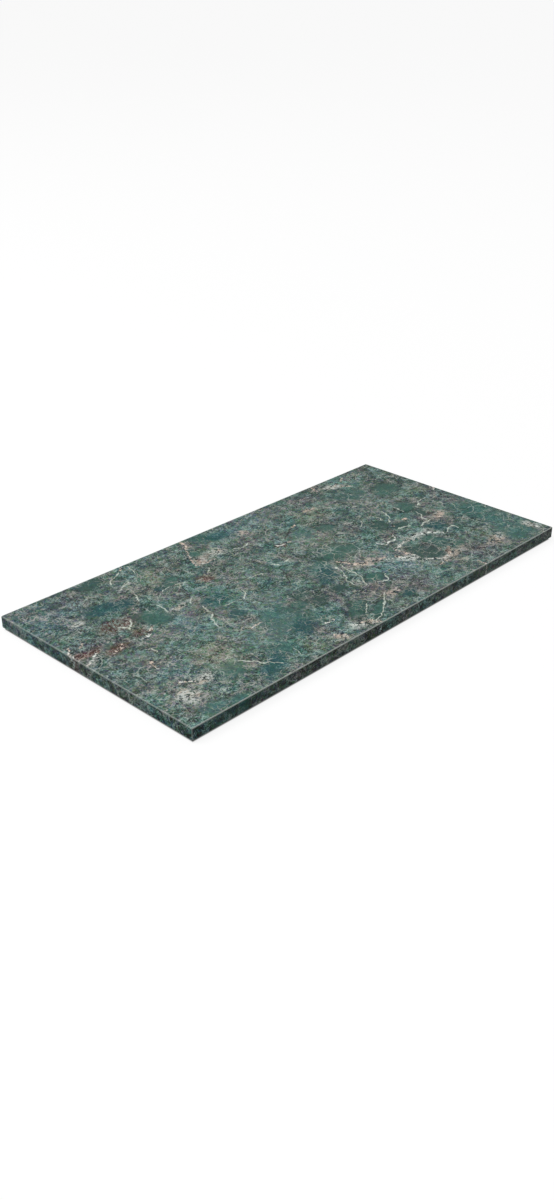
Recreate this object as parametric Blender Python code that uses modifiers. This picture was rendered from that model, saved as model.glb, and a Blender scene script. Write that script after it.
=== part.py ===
"""A polished granite bench slab for leatherworking, built as the pieces it comes apart into.

One rectangular stone is sawn from natural granite, polished on its upper face, and eased along every
sharp edge. Its sawn underside carries a glass-fibre net set in resin, which holds a veined stone
together, and six self-adhesive rubber feet are stuck to the net, so that the slab neither slides nor
marks the bench. Nothing on it moves.

Metres, +Z up. X runs along the slab, Y across it, and the origin is on the bench under its middle.
"""

import math

import bmesh
import bpy

# Stone.
SLAB_LENGTH = 0.6096
SLAB_WIDTH = 0.3048
SLAB_THICKNESS = 0.0143
ARRIS = 0.0011  # how far each sharp edge of the stone is eased
ARRIS_STEPS = 3  # flats that round the eased edge

# Glass-fibre net under the stone.
NET_THICKNESS = 0.0004
NET_MARGIN = 0.0040  # how far the net stops short of the eased edge
NET_CORNER = 0.0060  # radius of the net's trimmed corners
NET_CORNER_STEPS = 4

# Rubber feet under the net.
FOOT_DIAMETER = 0.0250
FOOT_HEIGHT = 0.0015
FOOT_EASE = 0.0003  # how far the foot's two rims are eased
FOOT_MARGIN = 0.0220  # from the slab's side to the foot's rim
FOOT_SIDES = 40

# Resin bed and adhesive film: bonded faces keep this much between them.
BOND_GAP = 0.0003

# Heights, from the bench up.
NET_BOTTOM = FOOT_HEIGHT + BOND_GAP
SLAB_BOTTOM = NET_BOTTOM + NET_THICKNESS + BOND_GAP

# Where the feet stand: a column at each end and one at mid-length, in two rows.
FOOT_REACH_X = SLAB_LENGTH / 2 - FOOT_MARGIN - FOOT_DIAMETER / 2
FOOT_REACH_Y = SLAB_WIDTH / 2 - FOOT_MARGIN - FOOT_DIAMETER / 2
FOOT_COLUMNS = {"left": -FOOT_REACH_X, "middle": 0.0, "right": FOOT_REACH_X}
FOOT_ROWS = {"front": -FOOT_REACH_Y, "back": FOOT_REACH_Y}

# Name, base colour, roughness and metallic value of each material.
FINISHES = {
    "granite": ((0.135, 0.170, 0.160), 0.35, 0.0),
    "glass_net": ((0.620, 0.640, 0.590), 0.55, 0.0),
    "rubber": ((0.022, 0.022, 0.023), 0.75, 0.0),
}


def clear_scene():
    """Empties the scene, and makes the collection and the empty that hold the slab."""
    for old in list(bpy.data.objects):
        bpy.data.objects.remove(old)
    collection = bpy.data.collections.new("granite_slab")
    bpy.context.scene.collection.children.link(collection)
    datum = bpy.data.objects.new("granite_slab_datum", None)
    collection.objects.link(datum)
    return collection, datum


def make_materials():
    """One Principled material for each finish."""
    made = {}
    for name, (colour, roughness, metallic) in FINISHES.items():
        material = bpy.data.materials.new(name)
        material.use_nodes = True
        shader = material.node_tree.nodes["Principled BSDF"]
        shader.inputs["Base Color"].default_value = (*colour, 1.0)
        shader.inputs["Roughness"].default_value = roughness
        shader.inputs["Metallic"].default_value = metallic
        made[name] = material
    return made


def place(mesh, name, location, material):
    """Adds a named piece to the slab's collection, parented to its datum."""
    piece = bpy.data.objects.new(name, mesh)
    piece.location = location
    piece.parent = datum
    if not mesh.materials:
        mesh.materials.append(material)
    collection.objects.link(piece)
    return piece


def box_mesh(name, length, width, height):
    """A box centred on X and Y that stands on z = 0."""
    shape = bmesh.new()
    bmesh.ops.create_cube(shape, size=1.0)
    bmesh.ops.translate(shape, vec=(0.0, 0.0, 0.5), verts=shape.verts)
    bmesh.ops.scale(shape, vec=(length, width, height), verts=shape.verts)
    mesh = bpy.data.meshes.new(name)
    shape.to_mesh(mesh)
    shape.free()
    return mesh


def add_stone_slab():
    """The stone: one box with every edge eased, as a fabricator leaves a safe edge."""
    mesh = box_mesh("stone_slab", SLAB_LENGTH, SLAB_WIDTH, SLAB_THICKNESS)
    slab = place(mesh, "stone_slab", (0.0, 0.0, SLAB_BOTTOM), materials["granite"])
    ease = slab.modifiers.new("eased_edges", "BEVEL")
    ease.width = ARRIS
    ease.segments = ARRIS_STEPS
    ease.limit_method = "NONE"
    return slab


def add_net_backing():
    """The glass-fibre net in its resin: a thin sheet with trimmed corners, inside the eased edge."""
    inset = ARRIS + NET_MARGIN
    mesh = box_mesh("net_backing", SLAB_LENGTH - 2 * inset, SLAB_WIDTH - 2 * inset, NET_THICKNESS)
    shape = bmesh.new()
    shape.from_mesh(mesh)
    uprights = [edge for edge in shape.edges if edge.verts[0].co.z != edge.verts[1].co.z]
    bmesh.ops.bevel(
        shape, geom=uprights, offset=NET_CORNER, segments=NET_CORNER_STEPS, profile=0.5, affect="EDGES"
    )
    shape.to_mesh(mesh)
    shape.free()
    return place(mesh, "net_backing", (0.0, 0.0, NET_BOTTOM), materials["glass_net"])


def foot_mesh():
    """Half the outline of a foot, from its top centre out, down and back in; a Screw turns it."""
    radius = FOOT_DIAMETER / 2
    outline = [
        (0.0, FOOT_HEIGHT),
        (radius - FOOT_EASE, FOOT_HEIGHT),
        (radius, FOOT_HEIGHT - FOOT_EASE),
        (radius, FOOT_EASE),
        (radius - FOOT_EASE, 0.0),
        (0.0, 0.0),
    ]
    shape = bmesh.new()
    points = [shape.verts.new((across, 0.0, height)) for across, height in outline]
    for above, below in zip(points, points[1:]):
        shape.edges.new((above, below))
    mesh = bpy.data.meshes.new("foot")
    shape.to_mesh(mesh)
    shape.free()
    return mesh


def add_feet():
    """Six equal feet that share one turned outline, each its own piece."""
    mesh = foot_mesh()
    for row, y in FOOT_ROWS.items():
        for column, x in FOOT_COLUMNS.items():
            foot = place(mesh, f"foot_{row}_{column}", (x, y, 0.0), materials["rubber"])
            turn = foot.modifiers.new("turned", "SCREW")
            turn.axis = "Z"
            turn.angle = math.tau
            turn.steps = FOOT_SIDES
            turn.render_steps = FOOT_SIDES
            turn.use_smooth_shade = True
            turn.use_merge_vertices = True
            turn.merge_threshold = 0.00001


collection, datum = clear_scene()
materials = make_materials()
add_stone_slab()
add_net_backing()
add_feet()
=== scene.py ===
# %% [markdown]
# # A polished granite slab for leatherworking
#
# The slab is one sawn rectangle of figured green granite. Leather is laid on its polished face and
# tooled, stamped or punched there, because stone doesn't give under a mallet. This lesson dresses a
# finished CAD frame: the frame says where each piece is and how big it is, and each step below makes
# one piece or one finish that fits it. All lengths are metres.

# %% Load the frame
import math
import random

import bmesh
import bpy
from mathutils import Matrix, Vector


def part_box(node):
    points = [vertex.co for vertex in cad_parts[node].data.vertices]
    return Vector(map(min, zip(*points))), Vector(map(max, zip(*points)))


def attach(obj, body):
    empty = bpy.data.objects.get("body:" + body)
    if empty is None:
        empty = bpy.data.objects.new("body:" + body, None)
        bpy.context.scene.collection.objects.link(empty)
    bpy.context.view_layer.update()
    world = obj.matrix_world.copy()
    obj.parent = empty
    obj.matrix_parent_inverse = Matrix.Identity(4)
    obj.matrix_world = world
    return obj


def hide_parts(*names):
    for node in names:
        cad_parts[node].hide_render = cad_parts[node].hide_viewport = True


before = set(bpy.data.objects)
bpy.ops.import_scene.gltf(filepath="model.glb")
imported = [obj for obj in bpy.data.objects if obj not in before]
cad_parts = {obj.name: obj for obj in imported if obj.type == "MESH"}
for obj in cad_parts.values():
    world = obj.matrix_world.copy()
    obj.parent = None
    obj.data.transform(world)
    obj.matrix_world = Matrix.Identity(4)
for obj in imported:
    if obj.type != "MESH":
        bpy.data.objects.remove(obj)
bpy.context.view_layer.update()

MM = 0.001
CM = 0.01
BODY = "root"
stone_low, stone_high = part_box("stone_slab")
net_low, net_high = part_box("net_backing")
print("frame nodes:", sorted(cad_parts))
print("stone from", tuple(stone_low), "to", tuple(stone_high))

# %% [markdown]
# ## The view
#
# The camera looks down over the near left corner, with the long side running away to the right. A
# camera can be aimed by eye, by a Track To constraint, or by its own axes. Its axes are used here: the
# line of sight is fixed, and the camera's up direction is the part of world up that is square to it,
# so the view has no roll. Colours are shown with the Standard transform, because a stone sample is
# judged by its plain colour and a filmic curve would wash it out.

# %% Camera
CAMERA_PLACE = Vector((-0.88286, -0.81705, 0.62661))
CAMERA_AIM = Vector((-0.07242, -0.03695, 0.0168))
CAMERA_LENS = 34.75
CAMERA_SENSOR = 36.0
NEAREST_SEEN = 0.05
FARTHEST_SEEN = 200.0


def make_camera():
    """A camera on its line of sight, with world up as near to the view's up as it goes."""
    settings = bpy.data.cameras.new("product_camera")
    settings.lens = CAMERA_LENS
    settings.sensor_width = CAMERA_SENSOR
    settings.clip_start = NEAREST_SEEN
    settings.clip_end = FARTHEST_SEEN
    camera = bpy.data.objects.new("product_camera", settings)
    bpy.context.scene.collection.objects.link(camera)
    camera.location = CAMERA_PLACE
    sight = (CAMERA_AIM - CAMERA_PLACE).normalized()
    camera.rotation_euler = sight.to_track_quat("-Z", "Y").to_euler()
    bpy.context.scene.camera = camera


make_camera()
bpy.context.scene.view_settings.view_transform = "Standard"
bpy.context.scene.view_settings.look = "None"
print("camera is", round((CAMERA_AIM - CAMERA_PLACE).length, 3), "m from what it looks at")

# %% [markdown]
# ## Small tools for node trees
#
# A floor, a light and a stone's figure all take many nodes, so a few helpers make them readable. Each
# adds one node to a tree, feeds its sockets with a number, a colour or another node's output, and
# hands back its output. The last helper turns a finished bmesh into an object, as every piece needs.

# %% Node helpers
def feed(tree, socket, value):
    """Links an output to a socket, or sets the socket to a plain value."""
    if isinstance(value, bpy.types.NodeSocket):
        tree.links.new(value, socket)
    else:
        socket.default_value = value


def maths(tree, operation, first, second=0.0, third=0.0, clamp=False):
    """One Math node."""
    node = tree.nodes.new("ShaderNodeMath")
    node.operation = operation
    node.use_clamp = clamp
    for socket, value in zip(node.inputs, (first, second, third)):
        feed(tree, socket, value)
    return node.outputs[0]


def vector_maths(tree, operation, first, second=(0.0, 0.0, 0.0), output="Vector"):
    """One Vector Math node. Some of its operations put out a number, in the output called Value."""
    node = tree.nodes.new("ShaderNodeVectorMath")
    node.operation = operation
    feed(tree, node.inputs[0], first)
    feed(tree, node.inputs[1], second)
    return node.outputs[output]


def ramp(tree, value, start, end, low=0.0, high=1.0):
    """A smooth rise from low to high as the value goes from start to end."""
    node = tree.nodes.new("ShaderNodeMapRange")
    node.interpolation_type = "SMOOTHSTEP"
    node.clamp = False
    names = ("Value", "From Min", "From Max", "To Min", "To Max")
    for name, number in zip(names, (value, start, end, low, high)):
        feed(tree, node.inputs[name], number)
    return node.outputs["Result"]


def show_mix(tree, output_kind, factor, first, second):
    """A mix of two shaders, sent to the tree's output."""
    choice = tree.nodes.new("ShaderNodeMixShader")
    for socket, value in zip(choice.inputs, (factor, first, second)):
        feed(tree, socket, value)
    feed(tree, tree.nodes.new(output_kind).inputs["Surface"], choice.outputs[0])


def make_object(name, shape, *materials):
    """Turns a finished bmesh into an object in the scene."""
    mesh = bpy.data.meshes.new(name)
    shape.to_mesh(mesh)
    shape.free()
    for material in materials:
        mesh.materials.append(material)
    thing = bpy.data.objects.new(name, mesh)
    bpy.context.scene.collection.objects.link(thing)
    return thing


print("node helpers are ready")

# %% [markdown]
# ## The floor
#
# The slab lies on a plain pale floor that runs to the horizon. One large plane is enough. In a bright
# studio such a sweep is lit until it is almost white, and only a trace of the contact shadow is left,
# so most of its paleness is given off by the plane itself and a small share is the light it catches.
# It throws no light back and casts no shadow: its ray visibility is off for everything but the
# camera. The light from below comes from the world instead, where it can be set by itself. Under the
# slab no studio light reaches the floor, so there its own light is dimmed: the mask is how far a point
# lies outside the slab's outline. Seen from underneath the plane is clear, so that the slab's underside
# can be looked at.

# %% Floor
FLOOR_HALF = 60.0
FLOOR_OWN_LIGHT = 0.86
FLOOR_DIMMED = 0.04
FLOOR_CATCHES = 0.17
SHADE_STARTS = 0.8 * MM
SHADE_FULL = 3.2 * MM


def make_floor_material():
    """Gives off most of its light, is dimmed under the slab, and is clear from below."""
    material = bpy.data.materials.new("pale_floor")
    material.use_nodes = True
    tree = material.node_tree
    tree.nodes.clear()
    where = tree.nodes.new("ShaderNodeTexCoord").outputs["Object"]
    mirrored = vector_maths(tree, "ABSOLUTE", where)
    beyond = vector_maths(tree, "SUBTRACT", mirrored, (stone_high.x, stone_high.y, 0.0))
    parts = tree.nodes.new("ShaderNodeSeparateXYZ")
    feed(tree, parts.inputs[0], beyond)
    outside = maths(tree, "MAXIMUM", parts.outputs["X"], parts.outputs["Y"])
    glow = tree.nodes.new("ShaderNodeEmission")
    own_light = ramp(tree, outside, -SHADE_FULL, -SHADE_STARTS, FLOOR_DIMMED, FLOOR_OWN_LIGHT)
    feed(tree, glow.inputs["Strength"], own_light)
    paper = tree.nodes.new("ShaderNodeBsdfDiffuse")
    paper.inputs["Color"].default_value = (FLOOR_CATCHES, FLOOR_CATCHES, FLOOR_CATCHES, 1.0)
    sweep = tree.nodes.new("ShaderNodeAddShader")
    feed(tree, sweep.inputs[0], glow.outputs[0])
    feed(tree, sweep.inputs[1], paper.outputs[0])
    clear = tree.nodes.new("ShaderNodeBsdfTransparent")
    backfacing = tree.nodes.new("ShaderNodeNewGeometry").outputs["Backfacing"]
    show_mix(tree, "ShaderNodeOutputMaterial", backfacing, sweep.outputs[0], clear.outputs[0])
    return material


def make_floor():
    """A large plane that only the camera sees."""
    shape = bmesh.new()
    bmesh.ops.create_grid(shape, x_segments=1, y_segments=1, size=FLOOR_HALF)
    floor = make_object("floor", shape, make_floor_material())
    floor.visible_diffuse = False
    floor.visible_glossy = False
    floor.visible_transmission = False
    floor.visible_shadow = False


make_floor()
print("floor:", 2 * FLOOR_HALF, "m square")

# %% [markdown]
# ## The light
#
# A soft studio dome lights the stone. The dome is the world itself: brightest overhead, falling away
# towards the horizon so that the polished face has little to mirror at a low angle and keeps its
# depth, and an even grey below. One large soft box above the left end makes the short side a little
# brighter than the long one. The camera sees the world as plain white.

# %% World and soft box
DOME_TOP = 1.25
DOME_FALL = 2.0
DOME_BELOW = 0.30
BOX_PLACE = Vector((-3.0, 1.8, 4.6))
BOX_SIDE = 3.6
BOX_POWER = 170.0


def make_world():
    """White to the camera; to everything else a dome that is brightest overhead."""
    world = bpy.data.worlds.new("studio_dome")
    bpy.context.scene.world = world
    world.use_nodes = True
    tree = world.node_tree
    tree.nodes.clear()
    parts = tree.nodes.new("ShaderNodeSeparateXYZ")
    feed(tree, parts.inputs[0], tree.nodes.new("ShaderNodeTexCoord").outputs["Generated"])
    height = parts.outputs["Z"]
    falling = maths(tree, "POWER", maths(tree, "MAXIMUM", height, 0.0), DOME_FALL)
    over = maths(tree, "MULTIPLY", falling, DOME_TOP)
    under = maths(tree, "LESS_THAN", height, 0.0)
    dome = tree.nodes.new("ShaderNodeBackground")
    feed(tree, dome.inputs["Strength"], maths(tree, "MULTIPLY_ADD", under, DOME_BELOW, over))
    paper = tree.nodes.new("ShaderNodeBackground")
    camera_ray = tree.nodes.new("ShaderNodeLightPath").outputs["Is Camera Ray"]
    show_mix(tree, "ShaderNodeOutputWorld", camera_ray, dome.outputs[0], paper.outputs[0])


def make_soft_box():
    """A square area light that faces the slab."""
    light = bpy.data.lights.new("soft_box", "AREA")
    light.shape = "SQUARE"
    light.size = BOX_SIDE
    light.energy = BOX_POWER
    box = bpy.data.objects.new("soft_box", light)
    bpy.context.scene.collection.objects.link(box)
    box.location = BOX_PLACE
    box.rotation_euler = (-BOX_PLACE).to_track_quat("-Z", "Y").to_euler()


make_world()
make_soft_box()
print("dome", DOME_TOP, "overhead,", DOME_BELOW, "below; soft box", BOX_POWER, "W")

# %% [markdown]
# ## Tools for colour and texture
#
# A stone's figure is made of colours, noise and cells. Sizes are given as the real size of a feature,
# since a texture's scale is one over that size. Noise alone has soft round outlines, so positions are
# made to wander first: what is then drawn from them gets the ragged outlines of a mineral.

# %% Colour helpers
def swatch(red, green, blue):
    """A colour read off a paint card, 0 to 255, as the linear colour that a shader wants."""
    def straighten(level):
        level = level / 255
        return level / 12.92 if level <= 0.04045 else ((level + 0.055) / 1.055) ** 2.4
    return (straighten(red), straighten(green), straighten(blue), 1.0)


def product(tree, first, *others):
    """Numbers or outputs, multiplied one after another."""
    for other in others:
        first = maths(tree, "MULTIPLY", first, other)
    return first


def blend(tree, factor, first, second, how="MIX"):
    """One Mix node for colours."""
    node = tree.nodes.new("ShaderNodeMix")
    node.data_type = "RGBA"
    node.blend_type = how
    feed(tree, node.inputs["Factor"], factor)
    feed(tree, node.inputs[6], first)
    feed(tree, node.inputs[7], second)
    return node.outputs[2]


def contrast(tree, colour, middle, amount):
    """Moves a colour away from a middle one. A Mix node does this when its factor may pass 1."""
    node = tree.nodes.new("ShaderNodeMix")
    node.data_type = "RGBA"
    node.clamp_factor = False
    node.clamp_result = True
    feed(tree, node.inputs["Factor"], amount)
    feed(tree, node.inputs[6], middle)
    feed(tree, node.inputs[7], colour)
    return node.outputs[2]


print("a mid grey swatch is", round(swatch(128, 128, 128)[0], 3), "in linear colour")

# %% Texture helpers
def stretch(tree, vector, factor):
    """A vector times a number."""
    node = tree.nodes.new("ShaderNodeVectorMath")
    node.operation = "SCALE"
    feed(tree, node.inputs[0], vector)
    feed(tree, node.inputs["Scale"], factor)
    return node.outputs["Vector"]


def noise(tree, position, size, detail=2.0, rough=0.5, output="Fac", shift=0.0):
    """Noise with features of a real size. A shift moves it, so that two uses differ."""
    if shift:
        position = vector_maths(tree, "ADD", position, (shift, shift * 0.7, shift * 0.3))
    node = tree.nodes.new("ShaderNodeTexNoise")
    feed(tree, node.inputs["Vector"], position)
    feed(tree, node.inputs["Scale"], 1.0 / size)
    feed(tree, node.inputs["Detail"], detail)
    feed(tree, node.inputs["Roughness"], rough)
    return node.outputs[output]


def cells(tree, position, size, output="Distance"):
    """Voronoi cells of a real size."""
    node = tree.nodes.new("ShaderNodeTexVoronoi")
    feed(tree, node.inputs["Vector"], position)
    feed(tree, node.inputs["Scale"], 1.0 / size)
    return node.outputs[output]


def wander(tree, position, size, amount, detail=2.0, shift=0.0):
    """The position pushed about by noise, so that what is drawn from it has natural outlines."""
    push = noise(tree, position, size, detail, 0.55, "Color", shift)
    push = vector_maths(tree, "SUBTRACT", push, (0.5, 0.5, 0.5))
    return vector_maths(tree, "ADD", position, stretch(tree, push, 4.0 * amount))


print("texture helpers are ready")

# %% [markdown]
# ## Tools for node groups
#
# What several materials share is built once, as a group with named sockets, and then placed in each.

# %% Group helpers
def new_group(name, inputs, outputs):
    """An empty shader node group with named sockets, its tree, and its input and output nodes."""
    tree = bpy.data.node_groups.new(name, "ShaderNodeTree")
    for label, kind, value in inputs:
        socket = tree.interface.new_socket(label, in_out="INPUT", socket_type=kind)
        if value is not None:
            socket.default_value = value
    for label, kind in outputs:
        tree.interface.new_socket(label, in_out="OUTPUT", socket_type=kind)
    return tree, tree.nodes.new("NodeGroupInput").outputs, tree.nodes.new("NodeGroupOutput").inputs


def place_group(tree, group, **values):
    """Puts a group in a tree. An input's name has underscores here where it has spaces."""
    node = tree.nodes.new("ShaderNodeGroup")
    node.node_tree = group
    for label, value in values.items():
        feed(tree, node.inputs[label.replace("_", " ")], value)
    return node.outputs


NUMBER = "NodeSocketFloat"
VECTOR = "NodeSocketVector"
COLOUR = "NodeSocketColor"
print("group helpers are ready")

# %% [markdown]
# ## Group: soft patch
#
# The stone has islands of colour: smooth green clasts, teal clouds, rust and mauve stains. Each is
# roughly an oval that stands somewhere on the slab, with a ragged rim. An oval is the set of points
# whose distance from a centre, measured in half-lengths, is under one. The raggedness isn't made
# here: the position that comes in has already wandered.

# %% Soft patch group
def make_patch_group():
    """Mask of one oval, from its centre, its half-sizes and its turn."""
    inputs = (
        ("Position", VECTOR, None),
        ("Centre", VECTOR, None),
        ("Half size", VECTOR, (0.02, 0.02, 1.0)),
        ("Turn", NUMBER, 0.0),
        ("Softness", NUMBER, 0.35),
    )
    tree, given, out = new_group("Soft patch", inputs, (("Mask", NUMBER),))
    away = vector_maths(tree, "SUBTRACT", given["Position"], given["Centre"])
    turned = tree.nodes.new("ShaderNodeVectorRotate")
    turned.rotation_type = "Z_AXIS"
    turned.invert = True
    feed(tree, turned.inputs["Vector"], away)
    feed(tree, turned.inputs["Angle"], given["Turn"])
    scaled = vector_maths(tree, "DIVIDE", turned.outputs[0], given["Half size"])
    flat = vector_maths(tree, "MULTIPLY", scaled, (1.0, 1.0, 0.0))
    reach = vector_maths(tree, "LENGTH", flat, output="Value")
    outer = maths(tree, "ADD", 1.0, given["Softness"])
    inner = maths(tree, "SUBTRACT", 1.0, given["Softness"])
    feed(tree, out["Mask"], ramp(tree, reach, outer, inner))
    return tree


patch_group = make_patch_group()
print("soft patch group:", len(patch_group.nodes), "nodes")

# %% [markdown]
# ## Group: vein along a line
#
# A vein is a crack that later filled with pale mineral. It runs from one place to another, and is
# widest near its middle. Its mask is high where the distance to the line between its two ends is
# less than its half-width.

# %% Vein group
VEIN_CORE = 0.25


def make_vein_group():
    """Mask of one vein, from its two ends and its half-width."""
    inputs = (
        ("Position", VECTOR, None),
        ("Start", VECTOR, None),
        ("End", VECTOR, None),
        ("Half width", NUMBER, 0.001),
    )
    tree, given, out = new_group("Vein along a line", inputs, (("Mask", NUMBER),))
    flat = vector_maths(tree, "MULTIPLY", given["Position"], (1.0, 1.0, 0.0))
    from_start = vector_maths(tree, "SUBTRACT", flat, given["Start"])
    run = vector_maths(tree, "SUBTRACT", given["End"], given["Start"])
    reached = vector_maths(tree, "DOT_PRODUCT", from_start, run, "Value")
    whole = vector_maths(tree, "DOT_PRODUCT", run, run, "Value")
    along = maths(tree, "DIVIDE", reached, whole)
    along = maths(tree, "MINIMUM", maths(tree, "MAXIMUM", along, 0.0), 1.0)
    foot = stretch(tree, run, along)
    off = vector_maths(tree, "LENGTH", vector_maths(tree, "SUBTRACT", from_start, foot), output="Value")
    core = maths(tree, "MULTIPLY", given["Half width"], VEIN_CORE)
    feed(tree, out["Mask"], ramp(tree, off, given["Half width"], core))
    return tree


vein_group = make_vein_group()
print("vein group:", len(vein_group.nodes), "nodes")

# %% [markdown]
# ## Group: crackle
#
# Between the large veins, the stone is crazed by a net of hairline cracks. The edges of Voronoi cells
# make such a net. Real cracks start and stop, so the net shows only where a coarser noise lets it.

# %% Crackle group
GATE_SIZE = 0.6
GATE_EDGE = 0.06


def make_crackle_group():
    """Mask of a net of hairlines, from the cell size, the line width and how much of it shows."""
    inputs = (
        ("Position", VECTOR, None),
        ("Cells per metre", NUMBER, 50.0),
        ("Line width", NUMBER, 0.03),
        ("Shown", NUMBER, 0.5),
    )
    tree, given, out = new_group("Crackle", inputs, (("Mask", NUMBER),))
    node = tree.nodes.new("ShaderNodeTexVoronoi")
    node.feature = "DISTANCE_TO_EDGE"
    feed(tree, node.inputs["Vector"], given["Position"])
    feed(tree, node.inputs["Scale"], given["Cells per metre"])
    line = ramp(tree, node.outputs["Distance"], given["Line width"], 0.0)
    chance = tree.nodes.new("ShaderNodeTexNoise")
    feed(tree, chance.inputs["Vector"], given["Position"])
    feed(tree, chance.inputs["Scale"], maths(tree, "MULTIPLY", given["Cells per metre"], GATE_SIZE))
    feed(tree, chance.inputs["Detail"], 2.0)
    threshold = maths(tree, "SUBTRACT", 0.8, maths(tree, "MULTIPLY", given["Shown"], 0.6))
    shut = maths(tree, "SUBTRACT", threshold, GATE_EDGE)
    gate = ramp(tree, chance.outputs["Fac"], shut, maths(tree, "ADD", threshold, GATE_EDGE))
    feed(tree, out["Mask"], maths(tree, "MULTIPLY", line, gate))
    return tree


crackle_group = make_crackle_group()
print("crackle group:", len(crackle_group.nodes), "nodes")

# %% [markdown]
# ## Laying out the figure
#
# A slab is chosen for its figure, so its main features are laid out one by one, as a mason would chalk
# them: where each lies from the middle of the slab, in centimetres, how far it reaches each way, and
# how far it is turned. Noise fills in all that is smaller.

# %% Clasts and clouds
# Each patch, in centimetres from the middle: across, up, half-length, half-width, turn in degrees.
DEEP_CLASTS = (
    (-19.3, 14.1, 1.9, 1.1, 10),
    (13.8, -8.2, 1.8, 2.4, 12),
    (-3.9, -7.0, 1.4, 1.0, 20),
    (-4.4, -4.6, 1.6, 0.9, 30),
    (17.8, -1.1, 1.3, 0.7, 0),
    (15.6, 0.7, 1.5, 1.1, 0),
    (22.4, -0.8, 0.9, 1.2, 0),
    (-0.4, -6.6, 1.2, 0.9, 0),
)
GREEN_CLASTS = (
    (17.2, -7.0, 1.5, 2.0, 0),
    (18.4, -9.6, 1.2, 0.8, 30),
    (-2.6, -11.4, 2.3, 1.0, 38),
    (-0.8, -13.0, 2.2, 0.8, 28),
    (22.9, 2.0, 1.7, 1.4, 0),
    (-19.0, 3.1, 1.7, 2.0, 0),
    (4.6, -7.8, 1.2, 1.0, 0),
    (6.8, -0.6, 3.2, 1.7, -10),
    (10.4, 4.9, 1.3, 1.3, 0),
    (25.4, 7.4, 2.6, 1.8, 10),
    (-12.6, 8.0, 1.6, 0.8, 30),
    (-5.7, 11.4, 0.9, 1.1, 0),
    (-6.4, -6.1, 1.1, 0.8, 0),
)
DEEP_TEALS = (
    (-12.2, 1.2, 1.8, 1.0, 0),
    (-22.2, 8.6, 2.2, 1.1, 0),
    (-20.1, 7.9, 1.6, 1.0, 0),
    (1.0, -3.7, 2.3, 1.1, 42),
    (-17.2, -13.0, 2.8, 1.2, 30),
    (20.8, -4.3, 1.5, 1.2, 0),
    (-0.4, 12.9, 1.8, 1.0, -15),
    (-9.4, -10.0, 2.0, 1.4, 30),
    (-14.4, 7.6, 0.9, 0.5, 0),
    (4.6, -13.0, 1.4, 0.7, 20),
    (-12.3, -2.8, 1.2, 0.8, 0),
)
TEAL_CLOUDS = (
    (-2.2, 14.0, 1.5, 1.4, 0),
    (-9.6, -7.6, 3.4, 3.4, 30),
    (28.2, -6.1, 2.6, 4.0, 0),
    (2.0, -1.8, 2.6, 1.2, 30),
    (26.7, -12.2, 3.0, 2.4, 0),
    (-26.6, -14.2, 1.4, 0.9, 0),
    (-24.0, -14.7, 1.4, 0.6, 0),
    (-21.0, -10.4, 1.7, 1.4, 0),
    (-14.6, -11.2, 2.2, 1.4, 30),
    (7.2, 5.8, 1.4, 1.1, 0),
    (20.6, 9.6, 2.6, 1.6, 0),
)
BLUE_CLOUDS = (
    (-28.0, 11.2, 3.4, 3.6, 0),
    (-17.8, -1.0, 1.5, 2.2, 10),
    (8.6, -7.6, 2.8, 2.8, 0),
    (4.0, 13.2, 3.8, 1.8, 0),
    (-24.0, -7.0, 2.6, 1.6, 0),
    (18.0, -7.4, 0.9, 0.7, 0),
    (10.4, -5.0, 1.2, 1.0, 0),
)
print(len(DEEP_CLASTS) + len(GREEN_CLASTS), "clasts and", len(TEAL_CLOUDS) + len(DEEP_TEALS), "teal clouds")

# %% Stains, crumbs and shades
MAUVE_STAINS = (
    (-28.3, 3.6, 2.0, 1.6, 0),
    (13.1, 2.8, 1.7, 1.2, -20),
    (12.8, 6.0, 1.4, 0.9, 0),
    (-2.2, -7.6, 2.6, 0.7, 62),
    (2.2, -9.4, 2.2, 0.9, 10),
    (7.4, -12.4, 1.9, 1.5, 0),
    (-13.7, 5.4, 1.2, 1.4, 0),
    (-23.4, 12.6, 1.8, 2.7, 0),
    (15.0, 13.0, 2.0, 1.2, 0),
    (28.8, 1.0, 1.8, 2.4, 0),
    (19.2, -12.6, 2.6, 1.5, 0),
    (-8.3, -11.8, 1.2, 1.3, 0),
    (15.2, -7.4, 0.7, 1.2, 0),
    (20.9, -1.6, 1.2, 0.9, 0),
    (-12.8, -4.8, 1.2, 0.8, 0),
    (6.8, -10.0, 1.8, 1.2, 0),
)
RUST_STAINS = (
    (-23.2, 4.8, 2.2, 1.3, 0),
    (-9.2, 5.7, 1.0, 0.9, 0),
    (-6.0, 9.8, 1.1, 0.6, 30),
    (-25.8, 0.9, 1.5, 0.8, 10),
    (15.8, -10.0, 0.8, 0.4, 30),
    (3.0, 5.6, 0.7, 0.4, 0),
    (-22.2, 1.6, 1.2, 0.7, 0),
    (-28.8, 2.2, 1.6, 0.7, 0),
)
OLIVE_CLOUDS = (
    (11.8, 8.8, 2.8, 1.4, 20),
    (7.6, 2.8, 2.2, 1.3, 0),
    (-13.6, 10.4, 2.2, 1.1, 55),
    (22.6, -10.3, 1.2, 0.6, 0),
    (-20.0, -7.4, 3.0, 3.0, 0),
    (28.0, 4.4, 2.2, 1.0, -20),
    (-11.8, -13.3, 1.1, 1.6, 0),
    (-4.4, 10.6, 1.2, 1.4, 0),
    (-22.4, 2.6, 1.0, 0.9, 0),
)
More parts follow.
